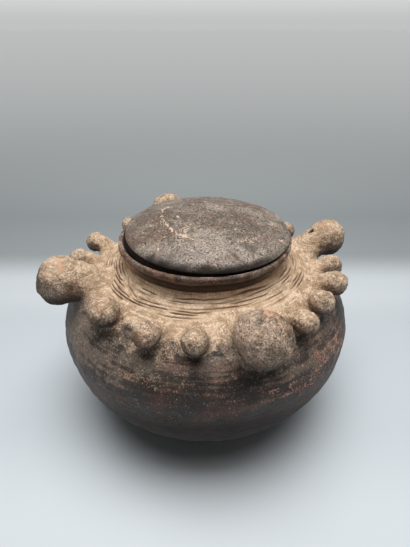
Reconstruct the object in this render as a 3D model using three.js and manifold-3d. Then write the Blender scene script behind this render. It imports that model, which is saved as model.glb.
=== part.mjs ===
// Knobbed earthenware jar with a loose domed lid.
// Millimetres, +Z up. The origin is the centre of the flat base, and -Y is the front.
// The jar is hand built, so its knobs differ a little from each other.
import * as THREE from 'three';
import { mergeVertices } from 'three/addons/utils/BufferGeometryUtils.js';
import Module from 'manifold-3d';

const wasm = await Module();
wasm.setup();

// Vessel
const bellyRadius = 140; // outside, at the widest
const bellyHeight = 102; // from the base to the widest
const baseRadius = 40; // flat that the jar stands on
const shoulderRise = 75; // from the widest up to where the shoulder's curve would close
const wall = 7;
const floorThickness = 8;
const neckRadius = 74; // outside, under the collar
const neckRise = 4.8; // upright part between the shoulder and the collar
const neckSweep = 3; // width of the curve from the shoulder into the neck
const neckWall = 6.5; // round the mouth

// Lines scratched round the neck before firing
const lineCount = 7;
const linePitch = 2.6;
const lineWidth = 1.2;
const lineDepth = 0.7;
const plainBand = 4.2; // from the neck to the first line

// Collar: a flared coil on top of the neck
const collarHeight = 15;
const collarFlare = 4.8; // how far the lip stands out from the foot of the collar
const collarFootStep = 1.2; // how far the collar's foot stands out from the neck
const lipThickness = 4.4;

// Lid: a shallow dome on a round flange, whose bevelled foot rests in the collar's taper
const lidInset = 0.4; // how far the lid's edge lies inside the lip
const lidEdge = 4.5; // from the underside to where the dome's curve would meet the edge
const lidRise = 10.3; // from there to the top of the dome
const lidTurn = 13; // width of the rounded edge, seen from above
const lidEdgeRound = 1.6; // small round under the edge
const lidWall = 7;
const lidShift = 3; // the dome lies this far to the right of its flange
const lidTilt = 1.5; // degrees that the dome tips down to the right
const seatRise = 4.3; // from the collar's foot to the flange's foot
const seatLand = 5; // height of the bevel that bears on the collar
const flangeDepth = 14.5;
const flangeThickness = 7.5;
const flangeFootRound = 2;

// Knobs stand on one ring round the shoulder. Out and up are from the ring to the middle
// of the head, and the flare is the clay smeared out round the root.
const knobInset = 32; // from the widest in to the middle of each root
const bigKnob = { out: 24, up: 11, head: 21, neck: 16, flare: 5, flareHeight: 9 };
const smallKnob = { out: 12.5, up: 6.5, head: 10, neck: 8.5, flare: 3.4, flareHeight: 6 };
const rootBend = 7; // how far a root stands up from the shoulder before it leans out
const rootSink = 5; // how deep the clay runs down before it is trimmed to the shoulder

// A blind hole pricked squarely into the top of the right-hand knob's neck
const prickRadius = 2;
const prickDepth = 8;
const prickBack = 14; // from the middle of the head back along the knob

// Running gap between pieces that touch
const slip = 0.3;

// Fineness of the turned and the lofted surfaces
const turnSteps = 56;
const domeSteps = 5;
const bigKnobSides = 16;
const smallKnobSides = 11;

// Each large knob: its bearing in degrees, and its sizes as shares of the usual large knob's
const bigKnobs = [
  { name: 'knob_big_front', bearing: -71, out: 0.9, up: 1.22, head: 1, neck: 1 },
  { name: 'knob_big_right', bearing: 17, out: 1.04, up: 1.13, head: 0.88, neck: 0.9, pricked: true },
  { name: 'knob_big_back', bearing: 110, out: 0.91, up: 0.55, head: 1, neck: 1 },
  { name: 'knob_big_left', bearing: 198, out: 1.06, up: 1, head: 1, neck: 1.05 },
];

// The small knobs between them, the same way round, as shares of the usual small knob's sizes
const smallKnobs = [
  { name: 'knob_small_front_right_1', bearing: -50, out: 1.16, up: 0.8, head: 0.98, neck: 0.95 },
  { name: 'knob_small_front_right_2', bearing: -35.5, out: 0.9, up: 1.04, head: 1.02, neck: 1 },
  { name: 'knob_small_front_right_3', bearing: -19, out: 1.16, up: 1, head: 1.08, neck: 1 },
  { name: 'knob_small_front_right_4', bearing: -3.5, out: 1.08, up: 0.85, head: 0.98, neck: 0.98 },
  { name: 'knob_small_back_right_1', bearing: 39.5, out: 0.9, up: 0.3, head: 0.94, neck: 0.94 },
  { name: 'knob_small_back_right_2', bearing: 55.5, out: 1, up: 0.9, head: 1, neck: 1 },
  { name: 'knob_small_back_right_3', bearing: 72, out: 0.96, up: 1, head: 1.05, neck: 1 },
  { name: 'knob_small_back_right_4', bearing: 88, out: 1.04, up: 0.9, head: 1, neck: 0.95 },
  { name: 'knob_small_back_left_1', bearing: 136, out: 0.88, up: 0.9, head: 0.94, neck: 0.94 },
  { name: 'knob_small_back_left_2', bearing: 161, out: 1.08, up: 1, head: 1, neck: 1 },
  { name: 'knob_small_back_left_3', bearing: 178, out: 1.2, up: 0.95, head: 0.98, neck: 0.95 },
  { name: 'knob_small_front_left_1', bearing: 226.5, out: 0.72, up: 1.38, head: 1.22, neck: 1.22 },
  { name: 'knob_small_front_left_2', bearing: 248.5, out: 0.92, up: 1.15, head: 1.04, neck: 1 },
  { name: 'knob_small_front_left_3', bearing: 266.5, out: 0.92, up: 1.15, head: 1, neck: 1 },
];

// Fired clay as it looks on each part of the jar
const burnishedClay = { color: 0x4a3c34, roughness: 0.62, metalness: 0 };
const redBrownClay = { color: 0x583a28, roughness: 0.6, metalness: 0 };
const greyBrownClay = { color: 0x837066, roughness: 0.6, metalness: 0 };
const dustyClay = { color: 0x96795f, roughness: 0.85, metalness: 0 };

// Height of the shoulder's outside, without its lines, at a distance from the jar's axis
function shoulderHeight(radius) {
  return bellyHeight + shoulderRise * Math.sqrt(1 - (radius / bellyRadius) ** 2);
}

// Direction that the shoulder faces there, in degrees above level
function shoulderFacing(radius) {
  const rise = (shoulderHeight(radius) - bellyHeight) / shoulderRise ** 2;
  return THREE.MathUtils.radToDeg(Math.atan2(rise, radius / bellyRadius ** 2));
}

const mouthRadius = neckRadius - neckWall;
const neckTop = shoulderHeight(neckRadius) + neckRise;
const collarFoot = neckTop + slip;
const lipHeight = collarFoot + collarHeight;
const lipRound = lipThickness / 2;
const collarFootRadius = neckRadius + collarFootStep;
const lipRadius = collarFootRadius + collarFlare;
const lipBore = lipRadius - lipThickness;
const linesOuter = neckRadius + plainBand + (lineCount - 0.5) * linePitch;
const knobRing = bellyRadius - knobInset;

// Points of an ellipse about (0, middle) from one radius to another, below or above it
function ellipsePoints(wide, high, middle, from, to, steps) {
  const points = [];
  const start = Math.acos(from / wide);
  const end = Math.acos(to / wide);
  for (let k = 0; k <= steps; k += 1) {
    const turn = start + ((end - start) * k) / steps;
    points.push(new THREE.Vector2(wide * Math.cos(turn), middle + high * Math.sin(turn)));
  }
  return points;
}

// Semi-height of the bowl's ellipse that passes through the rim of the flat base
const bowlDepth = bellyHeight / Math.sqrt(1 - (baseRadius / bellyRadius) ** 2);

// Outside of the bowl and the shoulder up to the scratched lines, grown by a gap
function bowlAndShoulder(gap) {
  const wide = bellyRadius + gap;
  return [
    new THREE.Vector2(0, -gap),
    ...ellipsePoints(wide, -bowlDepth - gap, bellyHeight, baseRadius, wide, 9),
    ...ellipsePoints(wide, shoulderRise + gap, bellyHeight, wide, linesOuter, 6).slice(1),
  ];
}

// The scratched lines as small notches across the shoulder, from the outermost in
function scratchedLines() {
  const points = [];
  for (let k = lineCount - 1; k >= 0; k -= 1) {
    const middle = neckRadius + plainBand + k * linePitch;
    const outer = middle + lineWidth / 2;
    const inner = middle - lineWidth / 2;
    points.push(new THREE.Vector2(outer, shoulderHeight(outer)));
    points.push(new THREE.Vector2(middle, shoulderHeight(middle) - lineDepth));
    points.push(new THREE.Vector2(inner, shoulderHeight(inner)));
  }
  return points;
}

// Outside of the neck, grown by a gap
function neckOutside(gap) {
  const foot = neckRadius + neckSweep;
  const sweep = new THREE.QuadraticBezierCurve(
    new THREE.Vector2(foot + gap, shoulderHeight(foot) + gap),
    new THREE.Vector2(neckRadius + gap, shoulderHeight(neckRadius) + gap),
    new THREE.Vector2(neckRadius + gap, neckTop),
  );
  return sweep.getPoints(3);
}

// Outside of the collar up to its lip, grown by a gap
function collarOutside(gap) {
  const flare = new THREE.QuadraticBezierCurve(
    new THREE.Vector2(collarFootRadius + gap, collarFoot),
    new THREE.Vector2(collarFootRadius + gap, collarFoot + collarHeight / 2),
    new THREE.Vector2(lipRadius + gap, lipHeight - lipRound),
  );
  return flare.getPoints(3);
}

function vesselInside() {
  const wide = bellyRadius - wall;
  const shoulder = shoulderRise - wall;
  const bowl = bowlDepth - wall;
  const floorRadius = wide * Math.sqrt(1 - ((bellyHeight - floorThickness) / bowl) ** 2);
  return [
    ...ellipsePoints(wide, shoulder, bellyHeight, mouthRadius, wide, 6),
    ...ellipsePoints(wide, -bowl, bellyHeight, wide, floorRadius, 7).slice(1),
    new THREE.Vector2(0, floorThickness),
  ];
}

function vesselProfile() {
  return [
    ...bowlAndShoulder(0),
    ...scratchedLines(),
    ...neckOutside(0),
    new THREE.Vector2(mouthRadius, neckTop),
    ...vesselInside(),
  ];
}

// The space that the vessel and the collar fill, with room for the gap, to trim knobs by
function trimmerProfile() {
  const wide = bellyRadius + slip;
  const neckFoot = neckRadius + neckSweep;
  return [
    ...bowlAndShoulder(slip),
    ...ellipsePoints(wide, shoulderRise + slip, bellyHeight, linesOuter, neckFoot, 4).slice(1),
    ...neckOutside(slip),
    ...collarOutside(slip),
    new THREE.Vector2(0, lipHeight),
  ];
}

function collarProfile() {
  const lipMiddle = lipRadius - lipRound;
  const points = collarOutside(0);
  for (let k = 1; k <= 5; k += 1) {
    const turn = (Math.PI * k) / 5;
    points.push(new THREE.Vector2(
      lipMiddle + lipRound * Math.cos(turn),
      lipHeight - lipRound + lipRound * Math.sin(turn),
    ));
  }
  points.push(new THREE.Vector2(mouthRadius, collarFoot));
  points.push(new THREE.Vector2(collarFootRadius, collarFoot));
  return points;
}

// The flange's bevel lies along the taper of the collar's bore
const boreTaper = (lipBore - mouthRadius) / (collarHeight - lipRound);
const seatHeight = collarFoot + seatRise;
const flangeRadius = mouthRadius + seatRise * boreTaper - slip * Math.hypot(1, boreTaper);
const lidUnderside = seatHeight + flangeDepth;
const domeFoot = lidUnderside + lidEdge;
const lidRadius = lipBore - lidInset;

// Rise of the dome's outside above its edge
function domeRise(radius) {
  return lidRise * (1 - (radius / lidRadius) ** 2);
}

// The lid's edge, from its small round below, over the turned-down rim to the dome
function lidRim() {
  const inner = lidRadius - lidTurn;
  const slope = (-2 * lidRise * inner) / lidRadius ** 2;
  const dome = new THREE.Vector2(inner, domeFoot + domeRise(inner));
  const lead = lidTurn / 2;
  const over = new THREE.CubicBezierCurve(
    new THREE.Vector2(lidRadius, lidUnderside + lidEdgeRound),
    new THREE.Vector2(lidRadius, lidUnderside + lidEdge),
    new THREE.Vector2(inner + lead, dome.y + lead * slope),
    dome,
  );
  return [new THREE.Vector2(lidRadius - lidEdgeRound, lidUnderside), ...over.getPoints(4)];
}

function lidProfile() {
  const flangeBore = flangeRadius - flangeThickness;
  const flangeSide = flangeRadius + seatLand * boreTaper;
  const points = [];
  for (let k = 0; k <= domeSteps; k += 1) {
    const radius = (flangeBore * k) / domeSteps;
    points.push(new THREE.Vector2(radius, domeFoot + domeRise(radius) - lidWall));
  }
  points.push(new THREE.Vector2(flangeBore, seatHeight + flangeFootRound));
  points.push(new THREE.Vector2(flangeBore + flangeFootRound, seatHeight));
  points.push(new THREE.Vector2(flangeRadius, seatHeight));
  points.push(new THREE.Vector2(flangeSide, seatHeight + seatLand));
  points.push(new THREE.Vector2(flangeSide, lidUnderside));
  points.push(...lidRim());
  for (let k = domeSteps - 1; k >= 0; k -= 1) {
    const radius = ((lidRadius - lidTurn) * k) / domeSteps;
    points.push(new THREE.Vector2(radius, domeFoot + domeRise(radius)));
  }
  return points;
}

// A closed turned solid from a profile that runs from the axis to the axis
function turned(profile) {
  const geometry = new THREE.LatheGeometry(profile, turnSteps);
  geometry.rotateX(Math.PI / 2);
  return geometry;
}

// Moves everything above a height to the right, and tips it down to that side
function leanAbove(geometry, height, shift, tilt) {
  const fall = Math.tan(THREE.MathUtils.degToRad(tilt));
  const places = geometry.attributes.position;
  for (let k = 0; k < places.count; k += 1) {
    const x = places.getX(k);
    const z = places.getZ(k);
    if (z > height) {
      places.setX(k, x + shift);
      places.setZ(k, z - x * fall);
    }
  }
  return geometry;
}

function solidFrom(geometry) {
  const bare = geometry.clone();
  bare.deleteAttribute('normal');
  bare.deleteAttribute('uv');
  const merged = mergeVertices(bare, 1e-4);
  return new wasm.Manifold(new wasm.Mesh({
    numProp: 3,
    vertProperties: new Float32Array(merged.attributes.position.array),
    triVerts: new Uint32Array(merged.index.array),
  }));
}

function geometryFrom(solid) {
  const mesh = solid.getMesh();
  const geometry = new THREE.BufferGeometry();
  geometry.setAttribute('position', new THREE.BufferAttribute(mesh.vertProperties, 3));
  geometry.setIndex(new THREE.BufferAttribute(mesh.triVerts, 1));
  geometry.computeVertexNormals();
  return geometry;
}

// A closed skin over rings of points, from a point at the root to a point at the tip
function loftedSkin(rings, rootPole, tipPole) {
  const sides = rings[0].length;
  const points = [...rings.flat(), rootPole, tipPole];
  const root = rings.length * sides;
  const tip = root + 1;
  const last = (rings.length - 1) * sides;
  const faces = [];
  for (let k = 0; k < sides; k += 1) {
    const next = (k + 1) % sides;
    faces.push(root, next, k);
    faces.push(tip, last + k, last + next);
    for (let row = 0; row < last; row += sides) {
      faces.push(row + k, row + next, row + sides + next);
      faces.push(row + k, row + sides + next, row + sides + k);
    }
  }
  const geometry = new THREE.BufferGeometry();
  geometry.setFromPoints(points);
  geometry.setIndex(faces);
  return geometry;
}

// A ring of points square to a direction that lies in the XZ plane
function ringAcross(centre, facing, radius, sides) {
  const sideways = new THREE.Vector3(0, 1, 0);
  const across = new THREE.Vector3().crossVectors(facing, sideways);
  const points = [];
  for (let k = 0; k < sides; k += 1) {
    const turn = (2 * Math.PI * k) / sides;
    points.push(centre.clone()
      .addScaledVector(sideways, radius * Math.cos(turn))
      .addScaledVector(across, radius * Math.sin(turn)));
  }
  return points;
}

// A knob's own sizes, from its shares of the usual knob's
function sizedKnob(shares, usual) {
  return {
    ...shares,
    out: shares.out * usual.out,
    up: shares.up * usual.up,
    head: shares.head * usual.head,
    neck: shares.neck * usual.neck,
    flare: usual.flare,
    flareHeight: usual.flareHeight,
  };
}

// A knob's middle line in the XZ plane: it leaves the shoulder squarely and leans out to
// the middle of the head. The knob's rings turn evenly along it, so that they don't cross.
function knobLine(knob) {
  const root = new THREE.Vector3(knobRing, 0, shoulderHeight(knobRing));
  const facing = THREE.MathUtils.degToRad(shoulderFacing(knobRing));
  const upright = new THREE.Vector3(Math.cos(facing), 0, Math.sin(facing));
  const bend = root.clone().addScaledVector(upright, rootBend);
  const head = root.clone().add(new THREE.Vector3(knob.out, 0, knob.up));
  const middle = new THREE.QuadraticBezierCurve3(root, bend, head);
  const lean = middle.getTangentAt(1);
  const facingAt = (along) => upright.clone().lerp(lean, along).normalize();
  return { root, upright, head, lean, middle, facingAt, reach: middle.getLength() };
}

// Radius of the flare, the neck or the inner half of the head, some way along the knob
function knobGirth(knob, reach, height) {
  const smear = Math.max(0, 1 - height / knob.flareHeight) ** 2;
  const ball = Math.sqrt(Math.max(0, knob.head ** 2 - (reach - height) ** 2));
  return Math.max(knob.neck + knob.flare * smear, ball);
}

// A knob before it is trimmed, standing on the shoulder in the XZ plane
function knobSkin(knob, sides) {
  const { root, upright, head, lean, middle, facingAt, reach } = knobLine(knob);
  const rootPole = root.clone().addScaledVector(upright, -rootSink);
  const rootGirth = knobGirth(knob, reach, -rootSink);
  const rings = [ringAcross(rootPole, upright, rootGirth, sides)];

  // Flare and neck, up to the middle of the head
  const neckSteps = 6;
  for (let k = 0; k <= neckSteps; k += 1) {
    const along = k / neckSteps;
    const girth = knobGirth(knob, reach, along * reach);
    rings.push(ringAcross(middle.getPointAt(along), facingAt(along), girth, sides));
  }

  // Outer half of the head
  const capSteps = 4;
  for (let k = 1; k < capSteps; k += 1) {
    const turn = (Math.PI / 2) * (k / capSteps);
    const centre = head.clone().addScaledVector(lean, knob.head * Math.sin(turn));
    rings.push(ringAcross(centre, lean, knob.head * Math.cos(turn), sides));
  }
  const tipPole = head.clone().addScaledVector(lean, knob.head);
  return loftedSkin(rings, rootPole, tipPole);
}

// The pricked hole, a round pin that stands half out of the knob's neck
function prickPin(knob) {
  const { middle, facingAt, reach } = knobLine(knob);
  const along = 1 - prickBack / reach;
  const facing = facingAt(along);
  const over = new THREE.Vector3(-facing.z, 0, facing.x);
  const entry = middle.getPointAt(along).addScaledVector(over, knobGirth(knob, reach, along * reach));
  const pin = new THREE.CylinderGeometry(prickRadius, prickRadius * 0.8, prickDepth * 2, 10);
  pin.applyQuaternion(new THREE.Quaternion().setFromUnitVectors(new THREE.Vector3(0, 1, 0), over));
  pin.translate(entry.x, entry.y, entry.z);
  return pin;
}

const trimmerShape = turned(trimmerProfile());

function knobMesh(knob, sides) {
  const bearing = THREE.MathUtils.degToRad(knob.bearing);
  const trimmer = solidFrom(trimmerShape.clone().rotateZ(-bearing));
  let clay = solidFrom(knobSkin(knob, sides)).subtract(trimmer);
  if (knob.pricked) {
    clay = clay.subtract(solidFrom(prickPin(knob)));
  }
  const mesh = new THREE.Mesh(geometryFrom(clay), new THREE.MeshStandardMaterial(dustyClay));
  mesh.name = knob.name;
  mesh.rotation.z = bearing;
  return mesh;
}

function namedMesh(name, geometry, finish) {
  const mesh = new THREE.Mesh(geometry, new THREE.MeshStandardMaterial(finish));
  mesh.name = name;
  return mesh;
}

const jar = new THREE.Group();

jar.add(namedMesh('jar_body', turned(vesselProfile()), burnishedClay));
jar.add(namedMesh('rim_collar', turned(collarProfile()), redBrownClay));

for (const shares of bigKnobs) {
  jar.add(knobMesh(sizedKnob(shares, bigKnob), bigKnobSides));
}
for (const shares of smallKnobs) {
  jar.add(knobMesh(sizedKnob(shares, smallKnob), smallKnobSides));
}

const lidGeometry = leanAbove(turned(lidProfile()), lidUnderside - slip, lidShift, lidTilt);
jar.add(namedMesh('lid', lidGeometry, greyBrownClay));

export default jar;
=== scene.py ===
"""Dresses the knobbed earthenware jar: hand-smoothed forms, fired-clay finishes and a stage."""

import math

import bpy
import numpy as np
from bpy.props import (
    FloatProperty,
    FloatVectorProperty,
    IntProperty,
    PointerProperty,
)
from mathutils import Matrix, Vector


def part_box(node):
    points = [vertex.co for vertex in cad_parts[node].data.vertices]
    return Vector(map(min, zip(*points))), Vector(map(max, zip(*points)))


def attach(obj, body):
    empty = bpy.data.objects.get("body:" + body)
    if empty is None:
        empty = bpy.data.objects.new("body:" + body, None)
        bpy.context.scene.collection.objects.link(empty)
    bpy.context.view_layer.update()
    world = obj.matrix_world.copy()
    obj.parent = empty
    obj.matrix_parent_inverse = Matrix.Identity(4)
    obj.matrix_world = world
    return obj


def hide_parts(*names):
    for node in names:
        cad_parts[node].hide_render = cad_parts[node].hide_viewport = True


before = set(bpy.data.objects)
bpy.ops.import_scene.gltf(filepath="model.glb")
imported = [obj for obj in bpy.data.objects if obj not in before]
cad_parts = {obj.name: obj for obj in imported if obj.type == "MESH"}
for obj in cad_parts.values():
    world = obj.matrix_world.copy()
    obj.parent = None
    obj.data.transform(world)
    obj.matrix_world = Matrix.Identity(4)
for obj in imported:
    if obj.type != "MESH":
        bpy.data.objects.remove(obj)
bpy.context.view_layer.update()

bl_info = {
    "name": "Knobbed Clay Jar",
    "version": (1, 0, 0),
    "blender": (4, 5, 0),
    "location": "3D Viewport > Sidebar > Clay Jar",
    "description": "Builds a hand-made lidded jar with a ring of clay knobs",
    "category": "Object",
}

MM = 0.001

# Corners of the boxes that the solids fill
BELLY_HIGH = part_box("jar_body")[1]
COLLAR_LOW, COLLAR_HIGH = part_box("rim_collar")
LID_LOW, LID_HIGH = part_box("lid")


def linear(code):
    """Turns an sRGB hex colour such as #b49677 into linear red, green and blue."""
    parts = [int(code[k : k + 2], 16) / 255 for k in (1, 3, 5)]
    return tuple(p / 12.92 if p <= 0.04045 else ((p + 0.055) / 1.055) ** 2.4 for p in parts)


class JarSizes(bpy.types.PropertyGroup):
    """The vessel's own sizes. The widest and the neck's top come from the frame."""

    belly_radius: FloatProperty(
        name="Belly radius",
        description="Outside radius at the widest",
        default=BELLY_HIGH.x,
        unit="LENGTH",
    )
    belly_height: FloatProperty(
        name="Belly height",
        description="Height of the widest above the base",
        default=102 * MM,
        unit="LENGTH",
    )
    base_radius: FloatProperty(
        name="Base radius",
        description="Radius of the flat that the jar stands on",
        default=40 * MM,
        unit="LENGTH",
    )
    shoulder_rise: FloatProperty(
        name="Shoulder rise",
        description="Height from the widest up to where the shoulder's curve would close",
        default=75 * MM,
        unit="LENGTH",
    )
    neck_radius: FloatProperty(
        name="Neck radius",
        description="Outside radius of the neck under the collar",
        default=74 * MM,
        unit="LENGTH",
    )
    wall: FloatProperty(
        name="Wall",
        description="Thickness of the clay wall",
        default=7 * MM,
        unit="LENGTH",
    )
    floor_thickness: FloatProperty(
        name="Floor",
        description="Thickness of the clay under the inside",
        default=8 * MM,
        unit="LENGTH",
    )
    columns: IntProperty(
        name="Columns",
        description="Points round the vessel",
        default=480,
    )


class LineSizes(bpy.types.PropertyGroup):
    """The lines scratched round the neck before firing."""

    count: IntProperty(name="Lines", description="How many lines go round", default=7)
    first: FloatProperty(
        name="First line",
        description="Distance of the first line outside the neck",
        default=4.2 * MM,
        unit="LENGTH",
    )
    pitch: FloatProperty(
        name="Line pitch",
        description="Distance between neighbouring lines",
        default=2.6 * MM,
        unit="LENGTH",
    )
    width: FloatProperty(
        name="Line width",
        description="Width of the stick that scratched them",
        default=1.05 * MM,
        unit="LENGTH",
    )
    depth: FloatProperty(
        name="Line depth",
        description="Depth of the deepest lines",
        default=0.8 * MM,
        unit="LENGTH",
    )


class CollarSizes(bpy.types.PropertyGroup):
    """The collar's section. Its height and the lip's radius come from the frame."""

    flare: FloatProperty(
        name="Flare",
        description="How far the lip stands out beyond the foot",
        default=4.8 * MM,
        unit="LENGTH",
    )
    foot_width: FloatProperty(
        name="Foot width",
        description="Width of the collar's foot on the neck",
        default=7.7 * MM,
        unit="LENGTH",
    )
    lip_width: FloatProperty(
        name="Lip width",
        description="Width of the lip",
        default=4.4 * MM,
        unit="LENGTH",
    )
    lip_height: FloatProperty(
        name="Lip height",
        description="Height over which the lip is rounded on the outside",
        default=4.0 * MM,
        unit="LENGTH",
    )
    columns: IntProperty(
        name="Columns",
        description="Points round the collar",
        default=360,
    )


class LidSizes(bpy.types.PropertyGroup):
    """The lid's own sizes. Its height, radius and shift come from the frame."""

    radius: FloatProperty(
        name="Lid radius",
        description="Radius of the dome's rim",
        default=(LID_HIGH.x - LID_LOW.x) / 2,
        unit="LENGTH",
    )
    shift: FloatProperty(
        name="Shift",
        description="How far the dome sits to the right of its flange",
        default=(LID_HIGH.x + LID_LOW.x) / 2,
        unit="LENGTH",
    )
    tilt: FloatProperty(
        name="Tilt",
        description="How far the dome leans down to the right",
        subtype="ANGLE",
        default=math.radians(1.0),
    )
    flange_depth: FloatProperty(
        name="Flange depth",
        description="How far the flange reaches down from the rim",
        default=12.5 * MM,
        unit="LENGTH",
    )
    flange_low: FloatProperty(
        name="Flange foot",
        description="Outside radius of the flange at its foot",
        default=69.8 * MM,
        unit="LENGTH",
    )
    flange_high: FloatProperty(
        name="Flange root",
        description="Outside radius of the flange under the rim",
        default=72.9 * MM,
        unit="LENGTH",
    )
    flange_width: FloatProperty(
        name="Flange width",
        description="Width of the flange at its foot",
        default=7.5 * MM,
        unit="LENGTH",
    )
    wall: FloatProperty(
        name="Lid wall",
        description="Thickness of the dome",
        default=7 * MM,
        unit="LENGTH",
    )
    edge: FloatProperty(
        name="Edge",
        description="Height that the dome's curve has left at its rim",
        default=5.5 * MM,
        unit="LENGTH",
    )
    turned_edge: FloatProperty(
        name="Turned edge",
        description="How far in from the rim the edge starts to turn down",
        default=11 * MM,
        unit="LENGTH",
    )
    crown: FloatProperty(
        name="Crown",
        description="Power of the dome's curve: higher is flatter in the middle",
        default=2.3,
    )
    columns: IntProperty(
        name="Columns",
        description="Points round the lid",
        default=600,
    )


class KnobSizes(bpy.types.PropertyGroup):
    """How the knobs are luted on. The heads' places and radii are measured on the frame."""

    inset: FloatProperty(
        name="Inset",
        description="From the widest of the belly in to the middle of each root",
        default=32 * MM,
        unit="LENGTH",
    )
    root_bend: FloatProperty(
        name="Root bend",
        description="How far a root stands up from the shoulder before it leans out",
        default=7 * MM,
        unit="LENGTH",
    )
    big_skirt: FloatProperty(
        name="Large skirt",
        description="How far the clay is smeared out round a large knob's neck",
        default=10 * MM,
        unit="LENGTH",
    )
    small_skirt: FloatProperty(
        name="Small skirt",
        description="How far the clay is smeared out round a small knob's neck",
        default=6 * MM,
        unit="LENGTH",
    )
    big_columns: IntProperty(
        name="Large columns",
        description="Points round a large knob",
        default=120,
    )
    small_columns: IntProperty(
        name="Small columns",
        description="Points round a small knob",
        default=80,
    )


class ClayColours(bpy.types.PropertyGroup):
    """Colours of the fired clay, as they look in soft daylight."""

    # Also the colour of painted shade: under and below the knobs, and at the lid's front edge and
    # underside
    smoke_and_shade: FloatVectorProperty(
        name="Smoked clay",
        description="Almost black clay that the smoke of the fire has filled",
        subtype="COLOR",
        default=linear("#261f1c"),
    )
    # Painted shade on the collar: under the lip at the front and down its inside
    under_lip_shade: FloatVectorProperty(
        name="Scorched clay",
        description="Dark brown of the collar where smoke settled under the lip",
        subtype="COLOR",
        default=linear("#2c1d12"),
    )
    chocolate: FloatVectorProperty(
        name="Chocolate clay",
        description="Burnished dark brown of the bowl",
        subtype="COLOR",
        default=linear("#463a32"),
    )
    umber: FloatVectorProperty(
        name="Umber clay",
        description="Lighter brown in the mottling of the bowl",
        subtype="COLOR",
        default=linear("#78695c"),
    )
    oxide: FloatVectorProperty(
        name="Oxide red",
        description="Red-brown where the fire had more air",
        subtype="COLOR",
        default=linear("#7d4a38"),
    )
    ember: FloatVectorProperty(
        name="Ember orange",
        description="Worn orange clay under the burnished skin",
        subtype="COLOR",
        default=linear("#c28a70"),
    )
    earth: FloatVectorProperty(
        name="Earth",
        description="Tan earth that clings to the rough shoulder",
        subtype="COLOR",
        default=linear("#cfb193"),
    )
    damp_earth: FloatVectorProperty(
        name="Dark earth",
        description="Browner earth in the hollows",
        subtype="COLOR",
        default=linear("#a3876b"),
    )
    pale: FloatVectorProperty(
        name="Pale grains",
        description="Cream of the high grains",
        subtype="COLOR",
        default=linear("#e9d5bd"),
    )
    # In the lines' bottoms and the lid's crack this colour is painted shade over bare clay; it is
    # also the collar's own clay
    furrow: FloatVectorProperty(
        name="Furrow",
        description="Brown in the bottoms of the scratched lines",
        subtype="COLOR",
        default=linear("#584231"),
    )
    knob_clay: FloatVectorProperty(
        name="Knob clay",
        description="Grey-brown of the handled knobs",
        subtype="COLOR",
        default=linear("#8f7b69"),
    )
    knob_dark: FloatVectorProperty(
        name="Knob shade",
        description="Brown patches of the knobs",
        subtype="COLOR",
        default=linear("#66533f"),
    )
    knob_warm: FloatVectorProperty(
        name="Knob red",
        description="Reddish drifts on the knobs",
        subtype="COLOR",
        default=linear("#8d6450"),
    )
    knob_rubbed: FloatVectorProperty(
        name="Rubbed knob",
        description="Pinkish grey of the rubbed tops",
        subtype="COLOR",
        default=linear("#bca390"),
    )
    blush: FloatVectorProperty(
        name="Blush",
        description="Pinkish tan where hands have worn the knobs through",
        subtype="COLOR",
        default=linear("#d5a384"),
    )
    lid_clay: FloatVectorProperty(
        name="Lid clay",
        description="Grey-brown of the smoothed lid",
        subtype="COLOR",
        default=linear("#877a6e"),
    )
    lid_dark: FloatVectorProperty(
        name="Lid shade",
        description="Dark patches of the lid",
        subtype="COLOR",
        default=linear("#665a4f"),
    )
    lid_warm: FloatVectorProperty(
        name="Lid red",
        description="Red-brown drifts on the lid",
        subtype="COLOR",
        default=linear("#6f5243"),
    )
    lid_pit: FloatVectorProperty(
        name="Lid pits",
        description="Dark red-brown pits of the lid",
        subtype="COLOR",
        default=linear("#3a2a22"),
    )
    lid_light: FloatVectorProperty(
        name="Lid bloom",
        description="Lighter bloom on the lid",
        subtype="COLOR",
        default=linear("#a29386"),
    )
    chip: FloatVectorProperty(
        name="Chip",
        description="Pinkish cream of fresh chips and scratches",
        subtype="COLOR",
        default=linear("#e9c9b1"),
    )


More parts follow.
